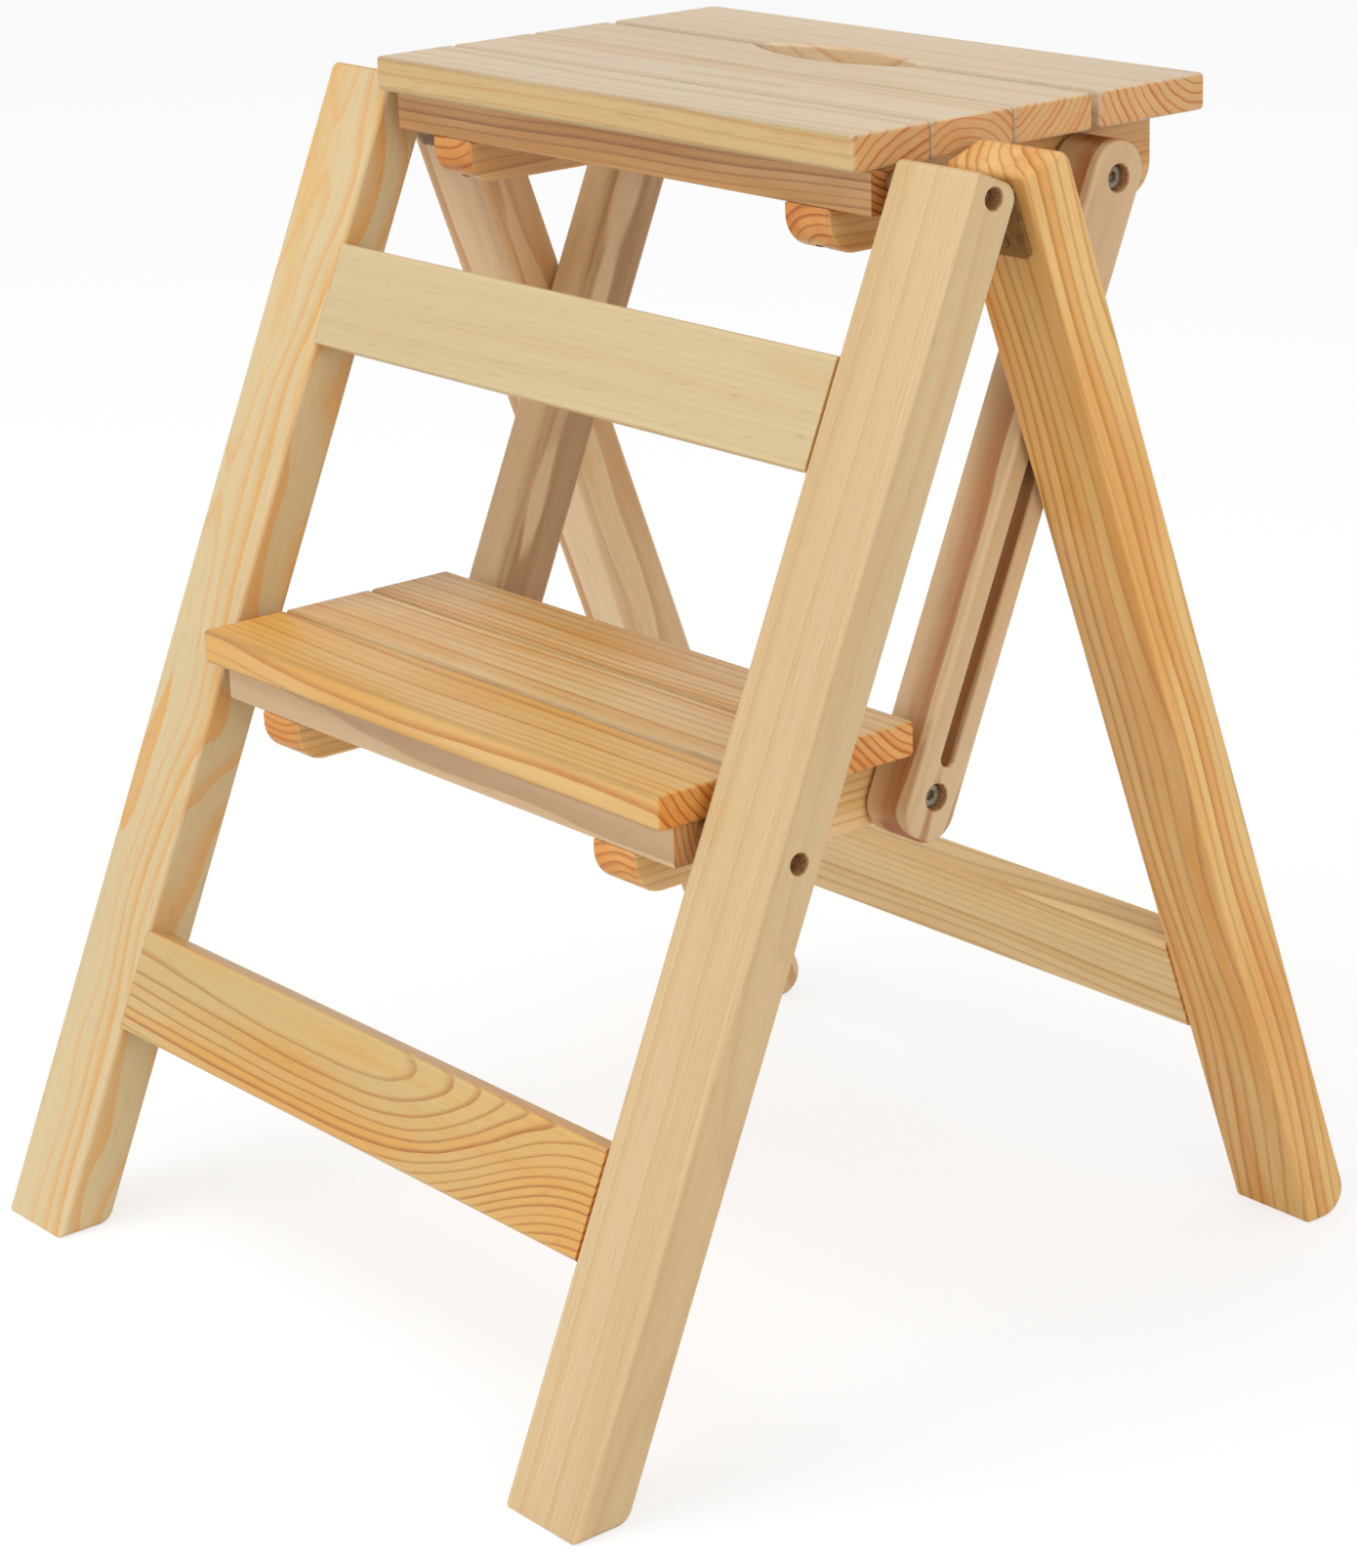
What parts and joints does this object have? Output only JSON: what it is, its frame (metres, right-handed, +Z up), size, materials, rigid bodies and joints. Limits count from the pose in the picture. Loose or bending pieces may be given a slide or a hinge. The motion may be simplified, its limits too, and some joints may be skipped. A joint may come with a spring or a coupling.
{
  "type": "folding step stool",
  "caption": "Folding wooden step stool and chair: a slatted seat with a hand slot and a slatted lower step, pivoted on splayed front legs and lifted together by side links to fold flat.",
  "frame": {"origin": "on the floor under the middle of the open stool's bounding box", "axes": "+X to the right seen from the front, along the slats; +Y to the back; +Z up"},
  "size_m": [0.4064, 0.423, 0.4885],
  "materials": {
    "leg_pine": "satin clear lacquer on pale cream pine",
    "rail_pine": "satin clear lacquer on yellow pine",
    "rear_leg_pine": "satin clear lacquer on orange pine",
    "rear_rail_pine": "satin clear lacquer on tan pine",
    "link_pine": "satin clear lacquer on pine",
    "seat_pine": "satin clear lacquer on pale greyish pine",
    "step_pine": "satin clear lacquer on warm pine with strong grain",
    "bearer_pine": "satin clear lacquer on pine",
    "bolt_steel": "zinc plated, satin",
    "hinge_steel": "zinc plated, satin"
  },
  "bodies": {
    "front_frame": {"front_leg_left": "leg_pine", "front_leg_right": "leg_pine", "front_upper_rail": "rail_pine", "front_lower_rail": "rail_pine", "hinge_front_leaf_left": "hinge_steel", "hinge_front_leaf_right": "hinge_steel", "hinge_pin_left": "hinge_steel", "hinge_pin_right": "hinge_steel", "hinge_front_screw_left_1": "hinge_steel", "hinge_front_screw_left_2": "hinge_steel", "hinge_front_screw_right_1": "hinge_steel", "hinge_front_screw_right_2": "hinge_steel"},
    "rear_frame": {"rear_leg_left": "rear_leg_pine", "rear_leg_right": "rear_leg_pine", "rear_cross_rail": "rear_rail_pine", "hinge_rear_leaf_left": "hinge_steel", "hinge_rear_leaf_right": "hinge_steel", "guide_pin_left": "hinge_steel", "guide_pin_right": "hinge_steel", "hinge_rear_screw_left_1": "hinge_steel", "hinge_rear_screw_left_2": "hinge_steel", "hinge_rear_screw_right_1": "hinge_steel", "hinge_rear_screw_right_2": "hinge_steel"},
    "seat": {"seat_slat_1": "seat_pine", "seat_slat_2": "seat_pine", "seat_slat_3": "seat_pine", "seat_slat_4": "seat_pine", "seat_pivot_rail": "bearer_pine", "seat_bearer_left": "bearer_pine", "seat_bearer_right": "bearer_pine", "seat_pivot_bolt_left": "bolt_steel", "seat_pivot_bolt_right": "bolt_steel", "seat_pivot_bush_left": "bolt_steel", "seat_pivot_bush_right": "bolt_steel", "seat_link_bolt_left": "bolt_steel", "seat_link_bolt_right": "bolt_steel", "seat_link_washer_left": "bolt_steel", "seat_link_washer_right": "bolt_steel", "seat_link_nut_left": "bolt_steel", "seat_link_nut_right": "bolt_steel"},
    "step": {"step_slat_1": "step_pine", "step_slat_2": "step_pine", "step_slat_3": "step_pine", "step_pivot_rail": "bearer_pine", "step_bearer_left": "bearer_pine", "step_bearer_right": "bearer_pine", "step_pivot_bolt_left": "bolt_steel", "step_pivot_bolt_right": "bolt_steel", "step_pivot_bush_left": "bolt_steel", "step_pivot_bush_right": "bolt_steel", "step_link_bolt_left": "bolt_steel", "step_link_bolt_right": "bolt_steel", "step_link_washer_left": "bolt_steel", "step_link_washer_right": "bolt_steel", "step_link_nut_left": "bolt_steel", "step_link_nut_right": "bolt_steel"},
    "link_left": {"link_left": "link_pine"},
    "link_right": {"link_right": "link_pine"}
  },
  "joints": [
    {"name": "seat_fold", "type": "hinge", "parent": "front_frame", "child": "seat", "pos_m": [0, 0.00508, 0.4684], "axis": [1, 0, 0], "range_deg": [0, 59]},
    {"name": "step_fold", "type": "hinge", "parent": "front_frame", "child": "step", "pos_m": [0, -0.09524, 0.23766], "axis": [1, 0, 0], "range_deg": [0, 59]},
    {"name": "rear_frame_fold", "type": "hinge", "parent": "front_frame", "child": "rear_frame", "pos_m": [0, 0.02201, 0.46758], "axis": [-1, 0, 0], "range_deg": [0, 42.9]},
    {"name": "link_left_turn", "type": "hinge", "parent": "seat", "child": "link_left", "pos_m": [-0.13995, 0.12038, 0.4538], "axis": [-1, 0, 0], "range_deg": [0, 59]},
    {"name": "link_right_turn", "type": "hinge", "parent": "seat", "child": "link_right", "pos_m": [0.13995, 0.12038, 0.4538], "axis": [-1, 0, 0], "range_deg": [0, 59]}
  ],
  "couplings": [
    {"joint": "step_fold", "follows": "seat_fold", "ratio": 1},
    {"joint": "rear_frame_fold", "follows": "seat_fold", "ratio": 0.7271},
    {"joint": "link_left_turn", "follows": "seat_fold", "ratio": 1},
    {"joint": "link_right_turn", "follows": "seat_fold", "ratio": 1}
  ]
}
